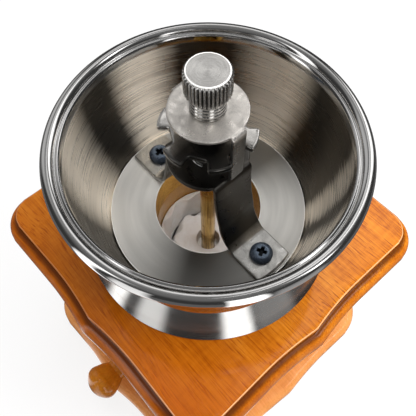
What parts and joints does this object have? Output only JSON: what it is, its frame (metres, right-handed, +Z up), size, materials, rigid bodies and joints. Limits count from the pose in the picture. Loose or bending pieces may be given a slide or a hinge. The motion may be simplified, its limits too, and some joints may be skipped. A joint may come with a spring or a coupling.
{
  "type": "manual coffee grinder",
  "caption": "Box coffee mill with a steel hopper on a wooden box, a bridge that holds the grinding spindle, a burr set below and a drawer for the grounds.",
  "frame": {"origin": "the spindle axis on the resting plane under the base board", "axes": "+Z up along the spindle, -Y is the side the drawer opens to, +X to its right seen from above with the drawer towards the viewer"},
  "size_m": [0.1446, 0.1598, 0.2245],
  "materials": {
    "lacquered_wood": "clear gloss lacquer over orange-brown wood",
    "knob_wood": "turned wood with gloss lacquer",
    "plain_wood": "bare wood",
    "polished_steel": "spun and polished stainless steel",
    "satin_steel": "satin, turned rings",
    "nickel_steel": "nickel plate",
    "spring_steel": "bright wire",
    "zinc_steel": "zinc plate",
    "black_steel": "black oxide",
    "brass": "drawn brass rod",
    "ceramic": "white fired ceramic"
  },
  "bodies": {
    "mill": {"base_board": "lacquered_wood", "base_screws": "black_steel", "left_side": "lacquered_wood", "right_side": "lacquered_wood", "back_panel": "lacquered_wood", "front_panel": "lacquered_wood", "drawer_guides": "plain_wood", "top_board": "lacquered_wood", "hopper_block": "plain_wood", "hopper_bowl": "polished_steel", "hopper_foot": "polished_steel", "hopper_floor": "satin_steel", "bridge": "nickel_steel", "bridge_screws": "black_steel", "bridge_bush": "nickel_steel", "bush_spring": "spring_steel", "outer_burr": "ceramic", "burr_housing": "zinc_steel", "housing_screws": "black_steel", "strap_screws": "black_steel", "bearing_strap": "zinc_steel"},
    "drawer": {"drawer_front": "lacquered_wood", "drawer_left": "plain_wood", "drawer_right": "plain_wood", "drawer_back": "plain_wood", "drawer_bottom": "plain_wood", "drawer_knob": "knob_wood", "knob_screw": "black_steel"},
    "spindle": {"shaft": "brass", "drive_pin": "spring_steel", "adjusting_wheel": "nickel_steel", "lock_plate": "nickel_steel", "inner_burr": "ceramic", "burr_washer": "nickel_steel", "burr_nut": "nickel_steel"},
    "washer": {"nut_washer": "nickel_steel"},
    "nut": {"thumb_nut": "nickel_steel"}
  },
  "joints": [
    {"name": "spindle_spin", "type": "hinge", "parent": "mill", "child": "spindle", "pos_m": [0, 0, 0.15], "axis": [0, 0, 1], "continuous": true},
    {"name": "drawer_slide", "type": "slide", "parent": "mill", "child": "drawer", "axis": [0, -1, 0], "range_m": [0, 0.085]},
    {"name": "nut_rise", "type": "slide", "parent": "spindle", "child": "washer", "axis": [0, 0, 1], "range_m": [0, 0.0032]},
    {"name": "nut_turn", "type": "hinge", "parent": "washer", "child": "nut", "pos_m": [0, 0, 0.21], "axis": [0, 0, 1], "range_deg": [0, 1440]}
  ],
  "couplings": [
    {"joint": "nut_rise", "follows": "nut_turn", "m_per_rad": 0.00012732}
  ]
}
